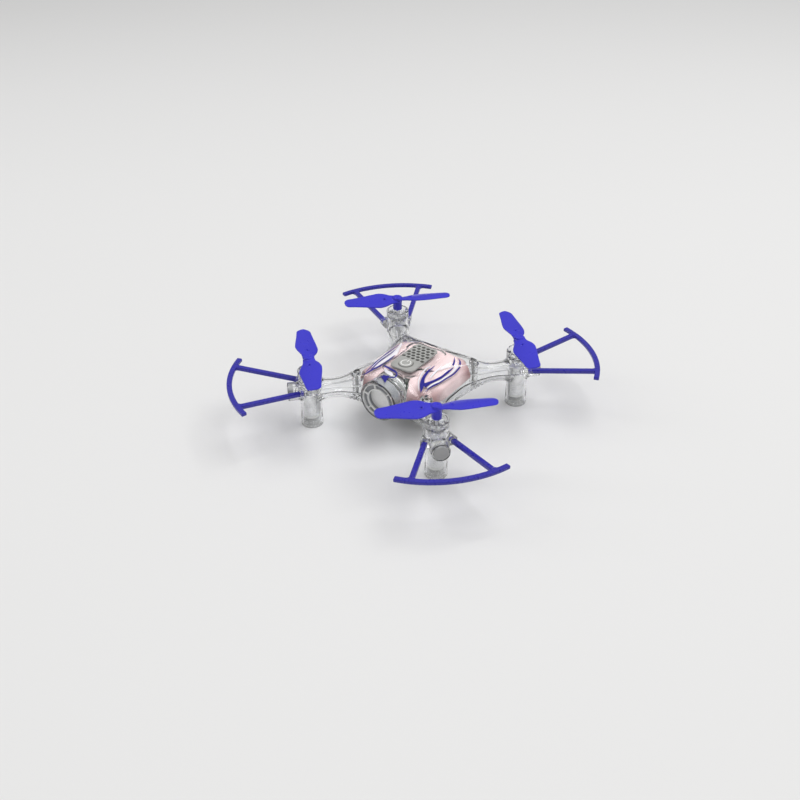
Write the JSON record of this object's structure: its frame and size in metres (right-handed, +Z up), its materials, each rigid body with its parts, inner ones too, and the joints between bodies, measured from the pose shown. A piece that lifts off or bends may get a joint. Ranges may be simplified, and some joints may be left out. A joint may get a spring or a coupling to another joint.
{
  "type": "mini palm drone",
  "caption": "Palm-size four-rotor drone with a clear body, pink lining, front headlight barrel, power button and curved bumpers around its spinning rotors.",
  "frame": {"origin": "on the floor under the centre of the body, between the four motor axes", "axes": "+Z up, front of the drone along -Y, arms on the diagonals"},
  "size_m": [0.1452, 0.1452, 0.0356],
  "materials": {
    "clear_plastic": "polished clear",
    "lining_pink": "satin, printed",
    "deck_grey": "satin",
    "blue_plastic": "gloss",
    "smoke_plastic": "gloss",
    "window_grey": "frosted",
    "mirror_silver": "bright",
    "motor_steel": "brushed",
    "shaft_steel": "ground",
    "white_plastic": "satin",
    "board_green": "solder mask",
    "chip_black": "moulded",
    "screw_steel": "plated",
    "cell_foil": "foil",
    "foam": "matte",
    "wire_pale": "gloss",
    "silicone": "matte",
    "led_epoxy": "clear",
    "foot_clear": "frosted clear"
  },
  "bodies": {
    "airframe": {"upper_shell": "clear_plastic", "lower_shell": "clear_plastic", "inner_canopy": "lining_pink", "deck_plate": "deck_grey", "front_barrel": "clear_plastic", "lens_bezel": "smoke_plastic", "lens_window": "window_grey", "lens_reflector": "mirror_silver", "headlight_led": "led_epoxy", "headlight_board": "white_plastic", "headlight_leads": "wire_pale", "control_board": "board_green", "board_chips": "chip_black", "board_screws": "screw_steel", "tact_switch": "chip_black", "usb_port": "mirror_silver", "battery_cell": "cell_foil", "battery_pad": "foam", "battery_leads": "wire_pale", "battery_plug": "white_plastic", "battery_door": "clear_plastic", "door_screw": "screw_steel", "antenna_wire": "wire_pale", "body_screws": "screw_steel", "button_spring": "silicone", "motor_end_caps": "white_plastic", "motor_magnets": "motor_steel", "lamp_leds": "led_epoxy", "motor_can_rear_right": "motor_steel", "motor_leads_rear_right": "wire_pale", "prop_guard_rear_right": "blue_plastic", "lamp_lens_rear_right": "window_grey", "foot_cap_rear_right": "foot_clear", "motor_can_rear_left": "motor_steel", "motor_leads_rear_left": "wire_pale", "prop_guard_rear_left": "blue_plastic", "lamp_lens_rear_left": "window_grey", "foot_cap_rear_left": "foot_clear", "motor_can_front_left": "motor_steel", "motor_leads_front_left": "wire_pale", "prop_guard_front_left": "blue_plastic", "lamp_lens_front_left": "window_grey", "foot_cap_front_left": "foot_clear", "motor_can_front_right": "motor_steel", "motor_leads_front_right": "wire_pale", "prop_guard_front_right": "blue_plastic", "lamp_lens_front_right": "window_grey", "foot_cap_front_right": "foot_clear"},
    "button": {"power_button": "deck_grey", "button_symbol": "white_plastic"},
    "rotor_rear_right": {"propeller_rear_right": "blue_plastic", "motor_shaft_rear_right": "shaft_steel"},
    "rotor_rear_left": {"propeller_rear_left": "blue_plastic", "motor_shaft_rear_left": "shaft_steel"},
    "rotor_front_left": {"propeller_front_left": "blue_plastic", "motor_shaft_front_left": "shaft_steel"},
    "rotor_front_right": {"propeller_front_right": "blue_plastic", "motor_shaft_front_right": "shaft_steel"}
  },
  "joints": [
    {"name": "power_button_press", "type": "slide", "parent": "airframe", "child": "button", "axis": [0, 0, -1], "range_m": [0, 0.0005], "stiffness_N_per_m": 400, "springref_m": -0.0005, "deforming": ["button_spring"]},
    {"name": "rotor_spin_rear_right", "type": "hinge", "parent": "airframe", "child": "rotor_rear_right", "pos_m": [0.03394, 0.03394, 0.034], "axis": [0, 0, 1], "continuous": true},
    {"name": "rotor_spin_rear_left", "type": "hinge", "parent": "airframe", "child": "rotor_rear_left", "pos_m": [-0.03394, 0.03394, 0.034], "axis": [0, 0, 1], "continuous": true},
    {"name": "rotor_spin_front_left", "type": "hinge", "parent": "airframe", "child": "rotor_front_left", "pos_m": [-0.03394, -0.03394, 0.034], "axis": [0, 0, 1], "continuous": true},
    {"name": "rotor_spin_front_right", "type": "hinge", "parent": "airframe", "child": "rotor_front_right", "pos_m": [0.03394, -0.03394, 0.034], "axis": [0, 0, 1], "continuous": true}
  ]
}
